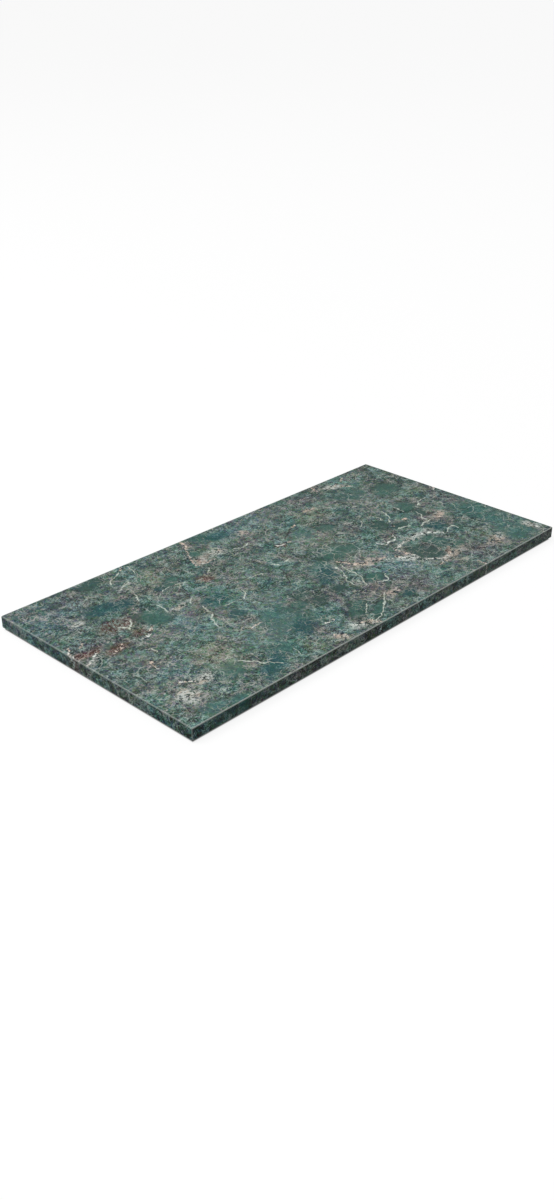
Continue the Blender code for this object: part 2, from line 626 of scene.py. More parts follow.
CREAM_CRUMBS = (
    (-6.4, 9.6, 1.3, 0.8, 40),
    (-4.0, 9.9, 1.4, 0.9, 20),
    (16.6, -4.5, 2.6, 0.7, 0),
    (15.2, -10.9, 2.8, 0.7, 10),
    (22.9, -11.9, 1.7, 0.9, 10),
    (7.0, -5.0, 2.0, 0.7, -12),
    (11.0, -7.5, 1.2, 0.8, -50),
    (20.8, 13.0, 1.8, 0.6, -20),
    (-26.9, -10.9, 1.3, 1.4, 0),
    (-23.6, -9.7, 1.4, 0.6, 0),
    (-8.2, -14.1, 1.2, 0.6, -40),
    (-4.6, -14.0, 1.8, 0.6, -20),
    (23.6, -2.7, 1.4, 0.6, 20),
    (29.3, -12.9, 0.7, 1.3, 0),
    (-16.0, 2.9, 1.1, 0.4, 0),
    (3.1, -11.8, 1.3, 0.5, 20),
    (2.3, 11.5, 0.7, 0.5, 0),
    (13.2, 10.2, 0.9, 0.6, 0),
    (-26.0, 7.8, 0.9, 0.5, 0),
)
SILVER_CLOUDS = (
    (4.5, 12.9, 4.5, 2.2, 0),
    (9.6, -7.4, 3.0, 2.4, 0),
    (23.4, 13.4, 2.4, 1.6, 0),
    (-12.7, -7.4, 4.0, 2.6, 0),
    (-9.6, -3.0, 4.0, 2.0, 0),
    (23.0, 6.0, 3.4, 2.4, 0),
    (7.0, 4.0, 3.0, 2.4, 0),
    (-25.6, -1.4, 2.0, 0.8, -20),
    (-28.1, -11.0, 1.0, 1.2, 0),
)
DUSKY_CLOUDS = (
    (-26.0, 11.0, 5.4, 3.6, 0),
    (-4.0, -6.2, 3.2, 2.4, 0),
    (-25.0, 1.6, 3.4, 2.6, 0),
    (-10.0, 11.4, 4.0, 3.0, 0),
    (-22.9, 7.4, 3.4, 2.6, 0),
    (-5.4, 7.4, 4.0, 2.2, 0),
    (2.5, -9.4, 2.6, 3.6, 0),
    (18.4, -12.6, 3.2, 2.0, 0),
    (-26.4, 2.4, 4.6, 2.2, 0),
    (-28.4, -4.0, 3.0, 3.4, 0),
    (12.7, 2.0, 3.0, 2.0, 0),
    (-2.6, -12.6, 3.0, 1.8, 0),
    (23.4, -5.6, 3.4, 2.6, 0),
    (3.0, -13.4, 3.0, 1.4, 0),
    (28.4, 11.0, 2.4, 3.0, 0),
    (-28.4, 3.2, 2.6, 1.8, 0),
    (-28.0, 2.6, 2.2, 1.6, 0),
    (-23.2, -7.6, 2.8, 2.4, 0),
    (-28.4, -13.6, 2.4, 1.4, 0),
    (2.0, -7.8, 2.2, 2.2, 0),
    (2.2, -13.0, 3.0, 1.6, 0),
    (13.0, -2.4, 2.6, 1.8, 0),
    (-7.2, 7.6, 2.8, 2.0, 0),
    (-2.6, 7.6, 2.6, 2.0, 0),
    (-18.0, 12.0, 2.8, 1.8, 0),
    (-28.4, 13.4, 2.4, 1.8, 0),
    (17.4, -8.0, 2.0, 2.2, 0),
)
print(len(MAUVE_STAINS) + len(RUST_STAINS), "stains and", len(CREAM_CRUMBS), "nests of crumbs")

# %% Veins, hairlines and seams
# Each is a path, in centimetres from the middle. It starts at the first point. Every further point has
# a third number, which is the half-width in millimetres of the stretch that ends there.
CRUMBLY_VEINS = (
    ((4.4, -2.4), (5.4, -4.2, 3.0), (6.6, -5.2, 4.0), (9.4, -5.4, 3.4)),
    ((9.0, -6.0), (9.6, -6.6, 1.6)),
    ((10.2, -6.6), (11.7, -8.3, 3.8)),
    ((11.5, -2.4), (12.1, -3.3, 1.8), (13.8, -3.4, 2.4), (14.7, -2.3, 1.8)),
    ((12.0, -5.0), (14.2, -4.4, 3.0), (16.4, -4.3, 3.6), (18.3, -4.8, 4.2), (19.7, -6.5, 3.0)),
    ((11.9, -5.0), (12.1, -8.4, 3.0)),
    ((12.3, -9.3), (13.6, -10.5, 2.6), (15.4, -10.6, 3.2), (17.0, -9.1, 3.4)),
    ((12.2, -11.6), (13.7, -11.1, 2.6)),
    ((16.2, -14.1), (16.2, -15.4, 2.2)),
    ((19.0, -0.5), (19.8, -0.5, 2.4)),
    ((16.6, -0.6), (16.8, -0.8, 1.8)),
    ((22.9, -3.1), (24.5, -2.4, 2.4)),
    ((24.4, -5.1), (24.9, -5.0, 1.8)),
    ((19.7, 13.6), (20.8, 12.7, 2.2), (22.0, 13.3, 2.2)),
    ((22.1, 12.3), (22.8, 11.4, 2.6)),
    ((18.3, 13.4), (18.8, 15.0, 2.2)),
    ((23.2, 13.7), (24.0, 14.2, 2.2)),
    ((8.0, 8.2), (8.4, 8.5, 2.8)),
    ((-7.8, 8.9), (-6.8, 10.9, 2.6), (-5.2, 13.4, 2.2), (-4.8, 15.0, 2.0)),
    ((-7.6, 8.8), (-5.0, 8.8, 2.2)),
    ((-3.6, 9.4), (-2.8, 10.4, 2.2)),
    ((-30.2, 0.5), (-28.4, 1.6, 2.4)),
    ((-27.0, 0.4), (-25.8, 0.6, 2.0), (-25.1, 1.3, 2.4)),
    ((-23.2, 0.5), (-22.0, 0.6, 2.4), (-20.5, 1.9, 2.2)),
    ((-30.3, 2.6), (-29.8, 4.4, 1.8)),
    ((-28.7, 3.7), (-28.0, 4.1, 1.6)),
    ((-8.6, -13.4), (-7.5, -14.4, 2.0)),
    ((-5.8, -13.3), (-3.6, -14.2, 2.4), (-3.0, -15.2, 2.2)),
    ((-7.4, -10.8), (-6.2, -11.2, 2.2)),
    ((-14.0, -5.9), (-12.2, -5.9, 1.8)),
    ((29.6, 2.8), (30.4, 3.5, 2.8)),
    ((29.2, -12.7), (29.4, -14.3, 2.6)),
    ((2.2, 6.0), (3.2, 5.4, 1.8), (4.8, 5.7, 2.2)),
    ((-26.0, -8.4), (-24.6, -9.4, 1.8)),
    ((-25.4, -3.4), (-25.8, -5.2, 2.0)),
    ((-14.6, 14.2), (-13.8, 15.2, 2.4)),
)
HAIRLINES = (
    ((16.7, -1.6), (18.4, -2.3, 1.3)),
    ((19.2, 3.2), (19.2, 2.2, 1.0), (18.5, 1.1, 1.2), (17.4, 0.4, 1.0)),
    ((17.4, 2.5), (17.2, 1.3, 1.0)),
    ((21.4, 3.0), (21.3, 1.2, 0.9)),
    ((24.2, 0.9), (25.1, 1.8, 1.1), (26.8, 2.0, 1.1)),
    ((20.4, -6.7), (21.3, -6.0, 1.1), (22.2, -5.9, 1.1), (22.1, -6.7, 1.0)),
    ((22.3, -0.1), (21.9, -1.2, 1.0), (21.4, -2.5, 1.1)),
    ((19.4, -3.2), (21.6, -2.8, 1.2)),
    ((15.3, 9.6), (15.8, 8.2, 1.0)),
    ((14.0, 2.1), (15.3, 3.1, 1.0)),
    ((23.4, -2.0), (23.8, -2.1, 1.8)),
    ((3.7, -5.1), (3.5, -6.6, 1.2), (2.4, -8.3, 1.1)),
    ((3.4, -2.8), (2.6, -4.8, 0.8), (1.5, -6.2, 0.8), (1.4, -7.7, 0.8)),
    ((4.3, -3.1), (3.6, -5.0, 0.8)),
    ((3.8, -8.8), (4.9, -9.4, 1.1), (6.1, -8.2, 1.1)),
    ((2.5, -11.3), (0.2, -12.8, 1.0), (-1.2, -13.9, 1.1), (-3.2, -14.6, 1.0)),
    ((-0.8, -11.4), (-2.7, -12.6, 0.8)),
    ((-19.2, -9.8), (-18.2, -11.0, 1.2), (-17.2, -12.2, 1.1), (-16.2, -13.3, 0.8)),
    ((-12.2, -0.6), (-9.6, -0.7, 0.6), (-8.3, 0.0, 1.0), (-8.2, 0.9, 1.0)),
    ((-15.7, -3.0), (-15.0, -1.6, 1.2), (-14.2, -0.5, 1.1), (-14.0, 1.3, 1.1)),
    ((-6.0, 2.4), (-3.2, 1.8, 0.7)),
    ((-1.2, 3.1), (-0.9, 2.1, 1.2)),
    ((0.6, 2.2), (1.2, 2.5, 1.4)),
    ((-17.8, 12.4), (-16.9, 13.3, 1.0), (-15.0, 14.0, 1.1)),
    ((-13.4, 14.6), (-13.9, 12.7, 1.0)),
    ((-17.8, 10.6), (-15.9, 11.4, 0.9)),
    ((-18.0, 7.2), (-17.2, 8.7, 0.9)),
    ((-14.6, 6.8), (-13.6, 7.4, 1.0)),
    ((-12.5, 7.1), (-11.5, 6.6, 1.1)),
    ((-14.2, 2.5), (-13.4, 3.6, 1.0)),
    ((-8.2, 6.6), (-7.0, 7.4, 1.0)),
    ((-1.5, 9.1), (-0.3, 8.6, 1.1), (0.9, 8.9, 1.1)),
    ((-17.2, 4.9), (-17.3, 3.0, 1.1)),
    ((-23.3, 4.2), (-22.4, 3.1, 1.2)),
    ((-21.3, 4.5), (-22.4, 3.0, 1.2)),
    ((-23.6, -1.8), (-23.7, -2.5, 1.3)),
    ((-13.6, -12.0), (-13.6, -13.7, 0.7)),
)
DARK_SEAMS = (
    ((22.7, 5.4), (25.2, 5.1, 1.3), (29.2, 4.6, 1.2)),
    ((-3.4, -2.0), (-1.4, 1.2, 1.3)),
    ((3.7, -1.4), (5.2, -3.2, 1.3)),
    ((4.8, 6.5), (7.7, 8.1, 1.4)),
)
print("crumbly veins:", len(CRUMBLY_VEINS), "- hairlines:", len(HAIRLINES), "- dark seams:", len(DARK_SEAMS))

# %% [markdown]
# ## Group: granite figure
#
# This is the stone itself. Polish, easing and sawing change how its surface looks but not what it is
# made of, so its colour is one group that every finish of the stone uses. It is laid in this order:
# clouds of ground colour, the patches, crystals and grain, wisps, crumbs, and last the hairlines and
# seams that cut through everything. The coordinates are the object's own. The patches and veins run
# straight down through the stone, and all the noise varies in three directions, so the figure carries
# on over the edges. Each step below is one function, and the first two lay a whole list.

# %% Laying a list
def patches(tree, position, listed, softness):
    """The highest mask of all the listed patches."""
    total = 0.0
    for across, up, half_length, half_width, turn in listed:
        mask = place_group(
            tree,
            patch_group,
            Position=position,
            Centre=(across * CM, up * CM, 0.0),
            Half_size=(half_length * CM, half_width * CM, 1.0),
            Turn=math.radians(turn),
            Softness=softness,
        )["Mask"]
        total = maths(tree, "MAXIMUM", total, mask)
    return total


def veins(tree, position, paths):
    """The highest mask of all the stretches of the listed paths."""
    total = 0.0
    for path in paths:
        for (x0, y0, *_), (x1, y1, half_width) in zip(path, path[1:]):
            mask = place_group(
                tree,
                vein_group,
                Position=position,
                Start=(x0 * CM, y0 * CM, 0.0),
                End=(x1 * CM, y1 * CM, 0.0),
                Half_width=half_width * MM,
            )["Mask"]
            total = maths(tree, "MAXIMUM", total, mask)
    return total


print("ready to lay", sum(len(path) - 1 for path in CRUMBLY_VEINS + HAIRLINES), "stretches of vein")

# %% [markdown]
# ### Texture and ground
#
# The texture is four sizes of noise added up: clumps, crumbs, grit, and fibres that lean one way. Each
# has a share, and the sum is moved down so that its middle is zero. The ground is three slow clouds.

# %% Texture and ground colour
TEXTURE_SHARES = (0.6, 1.2, 2.4, 1.3)
FIBRE_TURN = math.radians(-42)
FIBRE_STRETCH = (0.30, 1.0, 1.0)


def lay_texture(tree, ragged, winding, crooked):
    """Clumps, crumbs, and the sum of all four sizes of texture."""
    clump = noise(tree, ragged, 11 * MM, 4.0, 0.62, shift=17.0)
    crumb = noise(tree, winding, 4.2 * MM, 4.0, 0.70, shift=23.0)
    grit = noise(tree, crooked, 1.7 * MM, 2.0, 0.80, shift=29.0)
    leaning = tree.nodes.new("ShaderNodeMapping")
    leaning.inputs["Rotation"].default_value = (0.0, 0.0, FIBRE_TURN)
    leaning.inputs["Scale"].default_value = FIBRE_STRETCH
    feed(tree, leaning.inputs["Vector"], ragged)
    fibre = noise(tree, leaning.outputs[0], 2.6 * MM, 3.0, 0.65, shift=31.0)
    texture = -0.5 * sum(TEXTURE_SHARES)
    for share, layer in zip(TEXTURE_SHARES, (clump, crumb, grit, fibre)):
        texture = maths(tree, "MULTIPLY_ADD", layer, share, texture)
    return clump, crumb, texture


def lay_ground(tree, drift):
    """Clouds of ground colour, and the noise that sets their hue."""
    broad = noise(tree, drift, 70 * MM, 5.0, 0.60)
    ground = blend(tree, ramp(tree, broad, 0.38, 0.60), swatch(80, 108, 101), swatch(101, 123, 116))
    hue = noise(tree, drift, 42 * MM, 4.0, 0.60, shift=11.0)
    ground = blend(tree, ramp(tree, hue, 0.50, 0.64, 0.0, 0.60), ground, swatch(70, 114, 108))
    ground = blend(tree, ramp(tree, hue, 0.46, 0.34, 0.0, 0.50), ground, swatch(108, 110, 109))
    return ground, hue


print("texture shares:", TEXTURE_SHARES)

# %% [markdown]
# ### Patches
#
# The patches are laid softest first. None is one even colour: clumps of the ground show through all but
# the two broad shades. Where a clast ends, the stone round it is darkened. A clast is one smooth
# mineral, so this step also tells how loose the grain is: low in a clast, and one outside it.

# %% Patches of colour
# Each kind: its list, how soft its rim is, how strong it is, and its colour.
SHADES = (
    (SILVER_CLOUDS, 0.80, 0.22, swatch(158, 172, 166)),
    (DUSKY_CLOUDS, 0.80, 0.34, swatch(56, 76, 74)),
)
STAINS = (
    (TEAL_CLOUDS, 0.50, 0.70, swatch(66, 114, 108)),
    (DEEP_TEALS, 0.34, 1.00, swatch(38, 90, 91)),
    (BLUE_CLOUDS, 0.60, 0.70, swatch(84, 120, 125)),
    (OLIVE_CLOUDS, 0.60, 0.65, swatch(120, 134, 110)),
    (MAUVE_STAINS, 0.55, 0.70, swatch(92, 91, 98)),
    (RUST_STAINS, 0.50, 0.95, swatch(98, 66, 56)),
)
CLASTS = (
    (GREEN_CLASTS, 0.34, 0.85, swatch(64, 107, 97)),
    (DEEP_CLASTS, 0.30, 0.90, swatch(56, 88, 82)),
)
RIM_COLOUR = swatch(52, 72, 68)


def lay_patches(tree, colour, ragged, clump):
    """All the patches over the ground, and how loose the grain is."""
    mottle = ramp(tree, clump, 0.36, 0.60, 0.60, 1.0)
    for listed, softness, strength, paint in SHADES:
        mask = patches(tree, ragged, listed, softness)
        colour = blend(tree, product(tree, mask, strength), colour, paint)
    masks = []
    for listed, softness, strength, paint in STAINS + CLASTS:
        mask = patches(tree, ragged, listed, softness)
        colour = blend(tree, product(tree, mask, mottle, strength), colour, paint)
        masks.append(mask)
    green, deep = masks[-2:]
    island = maths(tree, "MAXIMUM", deep, green)
    rim = product(tree, island, maths(tree, "SUBTRACT", 1.0, island), 1.6)
    colour = blend(tree, rim, colour, RIM_COLOUR)
    teal = patches(tree, ragged, TEAL_CLOUDS + DEEP_TEALS, 0.50)
    smooth = maths(tree, "MAXIMUM", island, product(tree, teal, 0.85))
    loose = maths(tree, "MULTIPLY_ADD", smooth, -0.62, 1.0)
    return colour, loose


print("kinds of patch:", len(SHADES + STAINS + CLASTS))

# %% [markdown]
# ### Crystals and wisps
#
# Each crystal is a cell with a shade of its own. The grain between them is dark where the texture is
# low and pale where it is high. Wisps are threads of mineral. They follow the lines along which a noise
# crosses its middle, pale ones on one side of a clump and dark ones on the other.

# %% Crystals, grain and wisps
CRYSTAL = 2.5 * MM
# Each kind of wisp: its side of a clump, its noise, its strength, its warm and its cool colour.
WISPS = (
    (1.0, 37.0, 0.84, swatch(208, 196, 190), swatch(184, 210, 202)),
    (-1.0, 43.0, 0.80, swatch(46, 38, 42), swatch(18, 44, 41)),
)


def lay_crystals(tree, colour, drift, crooked, texture, hue, loose):
    """Crystals and grain over the colour, the mask of pale grain, and each crystal's own numbers."""
    shades = cells(tree, crooked, CRYSTAL, output="Color")
    draws = tree.nodes.new("ShaderNodeSeparateColor")
    feed(tree, draws.inputs[0], shades)
    colour = blend(tree, product(tree, loose, 0.26), colour, shades, "OVERLAY")
    zone = ramp(tree, noise(tree, drift, 22 * MM, 3.0, 0.6, shift=47.0), 0.38, 0.62, 0.62, 1.20)
    grain = product(tree, texture, product(tree, loose, zone))
    dark = ramp(tree, grain, 0.08, -0.50, 0.0, 0.82)
    colour = blend(tree, dark, colour, swatch(24, 42, 41))
    pale_kind = blend(tree, ramp(tree, hue, 0.40, 0.60), swatch(204, 192, 184), swatch(164, 200, 194))
    light = ramp(tree, grain, 0.05, 0.60, 0.0, 0.70)
    return blend(tree, light, colour, pale_kind), light, draws.outputs


def lay_wisps(tree, colour, crooked, clump, hue, loose):
    """Pale and dark threads over the colour."""
    for side, shift, strength, warm, cool in WISPS:
        paint = blend(tree, ramp(tree, hue, 0.42, 0.56), warm, cool)
        level = noise(tree, crooked, 5.5 * MM, 5.0, 0.66, shift=shift)
        crossing = maths(tree, "ABSOLUTE", maths(tree, "SUBTRACT", level, 0.5))
        beside = product(tree, maths(tree, "SUBTRACT", clump, 0.5), side)
        wisp = product(tree, ramp(tree, crossing, 0.026, 0.003), ramp(tree, beside, -0.05, 0.08))
        colour = blend(tree, product(tree, wisp, strength, loose), colour, paint)
    return colour


print("crystals of", round(CRYSTAL / MM, 1), "mm, and", len(WISPS), "kinds of wisp")

# %% [markdown]
# ### Crumbs and hairlines
#
# The wide veins are crumbly: bright crystals with dark ones between them. The same crumbs lie about in
# nests. Hairlines are the ones listed, and a broken net of two sizes. The coarse net is thickest round
# the clasts, which lie together in one region of the slab.

# %% Crumbs and hairlines
NET_CENTRE = (15.5 * CM, -3.5 * CM, 0.0)
NET_REACH = (14.0 * CM, 8.5 * CM, 1.0)


def lay_crumbs(tree, colour, ragged, crooked, crumb, texture, draw):
    """The dark crumbs over the colour, and the mask of the bright ones."""
    band = veins(tree, crooked, CRUMBLY_VEINS)
    nests = patches(tree, ragged, CREAM_CRUMBS, 0.55)
    crumbly = maths(tree, "MAXIMUM", band, product(tree, nests, 0.62))
    crumbly = product(tree, crumbly, ramp(tree, crumb, 0.32, 0.46, 0.40, 1.0))
    luck = maths(tree, "MULTIPLY_ADD", texture, 0.55, product(tree, draw, 0.5))
    bright = ramp(tree, luck, 0.13, 0.30)
    shade = product(tree, crumbly, maths(tree, "SUBTRACT", 1.0, bright), 0.70)
    return blend(tree, shade, colour, swatch(50, 52, 52)), product(tree, crumbly, bright)


def hairline_mask(tree, drift, winding, crooked, texture):
    """The listed hairlines and the broken net."""
    hairs = veins(tree, crooked, HAIRLINES)
    hairs = product(tree, hairs, ramp(tree, texture, -0.50, 0.10, 0.30, 1.0))
    region = place_group(
        tree, patch_group, Position=drift, Centre=NET_CENTRE, Half_size=NET_REACH, Softness=0.6
    )["Mask"]
    shown = maths(tree, "MULTIPLY_ADD", region, 0.12, 0.34)
    for per_metre, line_width, share, strength in ((52.0, 0.030, shown, 0.50), (128.0, 0.055, 0.40, 0.40)):
        net = place_group(
            tree,
            crackle_group,
            Position=winding,
            Cells_per_metre=per_metre,
            Line_width=line_width,
            Shown=share,
        )["Mask"]
        hairs = maths(tree, "MAXIMUM", hairs, product(tree, net, strength))
    return hairs


print("net is thickest round", [round(part / CM, 1) for part in NET_CENTRE[:2]], "cm")

# %% [markdown]
# ### The whole figure
#
# Now the steps are put together. The position wanders four ways first: slow drift for the clouds,
# ragged for the patches, winding for the nets and crooked for everything thin. The group puts out the
# colour, a height for bump, and how soft the mineral is, because soft minerals take less polish.

# %% Granite figure group
def make_granite_group():
    """Colour, height and softness of the stone at a position in the slab."""
    inputs = (("Position", VECTOR, None), ("Veining", NUMBER, 1.0))
    outputs = (("Color", COLOUR), ("Height", NUMBER), ("Softness", NUMBER))
    tree, given, out = new_group("Granite figure", inputs, outputs)
    place = given["Position"]
    drift = wander(tree, place, 60 * MM, 9 * MM, 3.0, shift=1.7)
    ragged = wander(tree, place, 14 * MM, 4.5 * MM, 5.0, shift=3.1)
    winding = wander(tree, place, 16 * MM, 3.2 * MM, 5.0, shift=5.3)
    crooked = wander(tree, winding, 5 * MM, 1.2 * MM, 3.0, shift=7.7)
    clump, crumb, texture = lay_texture(tree, ragged, winding, crooked)
    colour, hue = lay_ground(tree, drift)
    colour, loose = lay_patches(tree, colour, ragged, clump)
    colour, light, draws = lay_crystals(tree, colour, drift, crooked, texture, hue, loose)
    colour = lay_wisps(tree, colour, crooked, clump, hue, loose)
    colour, crumbs = lay_crumbs(tree, colour, ragged, crooked, crumb, texture, draws[0])
    hairs = hairline_mask(tree, drift, winding, crooked, texture)
    pale = maths(tree, "MAXIMUM", hairs, crumbs)
    pale = maths(tree, "MULTIPLY", pale, given["Veining"], clamp=True)
    warmth = noise(tree, drift, 34 * MM, 3.0, 0.6, shift=41.0)
    warmth = maths(tree, "MULTIPLY_ADD", maths(tree, "SUBTRACT", draws[1], 0.5), 0.16, warmth)
    vein_colour = blend(tree, ramp(tree, warmth, 0.41, 0.57), swatch(236, 236, 230), swatch(225, 201, 186))
    vein_colour = blend(tree, hairs, vein_colour, swatch(212, 220, 208))
    colour = blend(tree, pale, colour, vein_colour)
    seams = product(tree, veins(tree, winding, DARK_SEAMS), 0.70)
    feed(tree, out["Color"], blend(tree, seams, colour, swatch(48, 50, 48)))
    feed(tree, out["Height"], crumb)
    feed(tree, out["Softness"], maths(tree, "MAXIMUM", pale, product(tree, light, 0.5), clamp=True))
    return tree


granite_group = make_granite_group()
print("granite figure group:", len(granite_group.nodes), "nodes")

# %% [markdown]
# ## The stone's finishes
#
# One stone, six finishes. The top is polished. The sides are polished too, but only by hand, and their
# colour is darkened as painted shade. The eased arris between them was rubbed down with a coarse block
# and stays pale and dull; part of that paleness is a painted highlight, and along the front the arris
# is paler still, which is all painted highlight. The underside is as the saw left it, and a fresh chip
# shows dry grain. Each is a material of its own. It takes the figure from the group, and moves every
# colour away from a middle one, because a polish makes the darks darker and the lights lighter. Then it
# adds its own depth of colour, which on the sides is painted shade, gloss and bump.

# %% Material helpers
def new_material(name):
    """A material, its node tree, its shader, and the object's own coordinates."""
    material = bpy.data.materials.new(name)
    material.use_nodes = True
    tree = material.node_tree
    where = tree.nodes.new("ShaderNodeTexCoord").outputs["Object"]
    return material, tree, tree.nodes["Principled BSDF"], where


def roughen(tree, shader, height, strength, distance):
    """Gives a shader a fine relief."""
    relief = tree.nodes.new("ShaderNodeBump")
    relief.inputs["Strength"].default_value = strength
    relief.inputs["Distance"].default_value = distance
    feed(tree, relief.inputs["Height"], height)
    feed(tree, shader.inputs["Normal"], relief.outputs["Normal"])


print("material helpers are ready")

# %% Stone materials
FIGURE_MIDDLE = swatch(100, 121, 115)
# Pale rubbed stone. On the arrises it also serves as a painted highlight.
RUBBED_STONE_AND_HIGHLIGHT = swatch(190, 198, 192)
STONE_IOR = 1.55
RELIEF_DEPTH = 0.1 * MM
WHOLE = (1.0, 1.0, 1.0)
# Each finish: name, depth of colour (on the sides a painted shade), share of pale rubbed stone (on
# the arrises partly a painted highlight), roughness of hard and of soft mineral, strength of bump,
# contrast, specular level.
FINISH_LIST = (
    ("granite_polished_top", (0.92, 0.98, 0.97), 0.0, 0.22, 0.38, 0.15, 1.18, 0.50),
    # The sides' much darker depth of colour is painted shade.
    ("granite_polished_side_painted_shade", (0.59, 0.77, 0.76), 0.0, 0.30, 0.45, 0.15, 1.80, 0.35),
    # The eased arris's pale share is partly rubbed stone and partly a painted highlight.
    ("granite_eased_arris", WHOLE, 0.28, 0.50, 0.60, 0.30, 1.00, 0.50),
    # The front arris's larger pale share is a painted highlight.
    ("granite_front_arris_painted_highlight", WHOLE, 0.78, 0.50, 0.60, 0.30, 1.00, 0.50),
    ("granite_sawn", (0.9, 0.9, 0.9), 0.22, 0.75, 0.85, 0.60, 1.00, 0.50),
    ("granite_fresh_chip", WHOLE, 0.45, 0.70, 0.80, 0.80, 1.00, 0.50),
)
TOP, SIDE, EASED, FRONT_ARRIS_HIGHLIGHT, SAWN, CHIPPED = range(len(FINISH_LIST))


def make_stone_material(name, depth, rubbed_and_highlight_share, hard_rough, soft_rough, bump, amount, specular):
    """The figure with more contrast, multiplied by a depth colour that on the sides is painted shade, then
    paled towards rubbed stone, which on the arrises is partly a painted highlight.
    """
    material, tree, shader, where = new_material(name)
    figure = place_group(tree, granite_group, Position=where)
    clear = contrast(tree, figure["Color"], FIGURE_MIDDLE, amount)
    # On the sides this depth colour is painted shade.
    tinted_and_shaded = blend(tree, 1.0, clear, (*depth, 1.0), "MULTIPLY")
    # Paling towards pale stone: on the arrises partly a painted highlight, on the front arris wholly one.
    feed(tree, shader.inputs["Base Color"], blend(tree, rubbed_and_highlight_share, tinted_and_shaded, RUBBED_STONE_AND_HIGHLIGHT))
    rough = ramp(tree, figure["Softness"], 0.0, 1.0, hard_rough, soft_rough)
    smear = noise(tree, where, 70 * MM, 3.0, shift=2.0)
    feed(tree, shader.inputs["Roughness"], maths(tree, "MULTIPLY_ADD", smear, 0.08, rough))
    roughen(tree, shader, figure["Height"], bump, RELIEF_DEPTH)
    shader.inputs["IOR"].default_value = STONE_IOR
    shader.inputs["Specular IOR Level"].default_value = specular
    return material


FINISHES = [make_stone_material(*row) for row in FINISH_LIST]
print("stone finishes:", [finish.name for finish in FINISHES])

# %% [markdown]
# ## The stone
#
# A real slab is never a perfect box: its arrises are rubbed round, and here and there a grain has
# popped out of them. The rounding is a bevel. The chips could be a bump map, but they break the
# outline, so they are cut from the shape itself: each is the bite of a small lumpy pebble, taken out
# by a Boolean. The pebbles stand clear of each other, which keeps the Boolean exact and quick.

# %% Stone block
ARRIS = 1.1 * MM
ARRIS_SEGMENTS = 5
SQUARE_ON = 0.999
FACES_FRONT = 0.3
FACES_UP = 0.1


def stone_block():
    """The box of the CAD stone with every edge eased."""
    shape = bmesh.new()
    bmesh.ops.create_cube(shape, size=1.0)
    size = stone_high - stone_low
    bmesh.ops.scale(shape, vec=size, verts=shape.verts)
    bmesh.ops.translate(shape, vec=(stone_low + stone_high) / 2, verts=shape.verts)
    bmesh.ops.bevel(
        shape, geom=shape.edges[:], offset=ARRIS, segments=ARRIS_SEGMENTS, profile=0.5, affect="EDGES"
    )
    for face in shape.faces:
        normal = face.normal
        if normal.z > SQUARE_ON:
            face.material_index = TOP
        elif normal.z < -SQUARE_ON:
            face.material_index = SAWN
        elif max(abs(normal.x), abs(normal.y)) > SQUARE_ON:
            face.material_index = SIDE
        # The upper arris faces that face the front take the paler finish: a painted highlight.
        elif normal.y < -FACES_FRONT and normal.z > FACES_UP:
            face.material_index = FRONT_ARRIS_HIGHLIGHT
        else:
            face.material_index = EASED
    return make_object("stone", shape, *FINISHES)


stone = stone_block()
print("stone block:", len(stone.data.polygons), "faces")

# %% Pebbles for the chips
CHIP_SPACING = 24 * MM
CHIP_SHIFT = 0.3
CHIPS_LEFT_OUT = 0.35
PEBBLE_RADIUS = (0.35, 0.95)
PEBBLE_BITE = (0.10, 0.34)
PEBBLE_SQUASH = ((0.8, 1.7), (0.8, 1.7), (0.7, 1.1))
PEBBLE_LUMP = 0.12
PEBBLE_SEED = 7


def edge_runs():
    """The slab's four upper and four lower edges: start, end and which way is outward."""
    low, high = stone_low, stone_high
    middle = (low + high) / 2
    runs = []
    for side in (-1, 1):
        y = middle.y + side * (high.y - middle.y)
        x = middle.x + side * (high.x - middle.x)
        for z, out in ((high.z, 1), (low.z, -1)):
            runs.append((Vector((low.x, y, z)), Vector((high.x, y, z)), Vector((0, side, out))))
            runs.append((Vector((x, low.y, z)), Vector((x, high.y, z)), Vector((side, 0, out))))
    return runs


def add_pebble(shape, draw, place, outward):
    """One squashed, turned and lumpy pebble that just bites the arris."""
    radius = draw.uniform(*PEBBLE_RADIUS) * MM
    bite = draw.uniform(*PEBBLE_BITE) * radius
    arris = place - outward * (math.sqrt(2) - 1) * ARRIS
    centre = arris + outward * (radius - bite)
    squash = Matrix.Diagonal([draw.uniform(*span) for span in PEBBLE_SQUASH] + [1.0])
    turn = Matrix.Rotation(draw.uniform(0, math.tau), 4, outward)
    made = bmesh.ops.create_icosphere(
        shape, subdivisions=2, radius=radius, matrix=Matrix.Translation(centre) @ turn @ squash
    )
    for vert in made["verts"]:
        vert.co += (vert.co - centre) * draw.uniform(-PEBBLE_LUMP, PEBBLE_LUMP)


def chip_pebbles():
    """Pebbles all along the edges, at most one in each stretch."""
    draw = random.Random(PEBBLE_SEED)
    shape = bmesh.new()
    for start, end, outward in edge_runs():
        length = (end - start).length
        outward = outward.normalized()
        for step in range(1, int(length / CHIP_SPACING)):
            if draw.random() < CHIPS_LEFT_OUT:
                continue
            along = (step + draw.uniform(-CHIP_SHIFT, CHIP_SHIFT)) * CHIP_SPACING / length
            add_pebble(shape, draw, start.lerp(end, along), outward)
    return make_object("chip_pebbles", shape, FINISHES[CHIPPED])


pebbles = chip_pebbles()
print("pebbles:", len(pebbles.data.polygons), "faces")

# %% Chips
SHARP_ON_STONE = math.radians(40)


def applied(thing):
    """Makes an object's modifiers part of its mesh."""
    graph = bpy.context.evaluated_depsgraph_get()
    mesh = bpy.data.meshes.new_from_object(thing.evaluated_get(graph))
    mesh.name = thing.name
    thing.modifiers.clear()
    thing.data = mesh


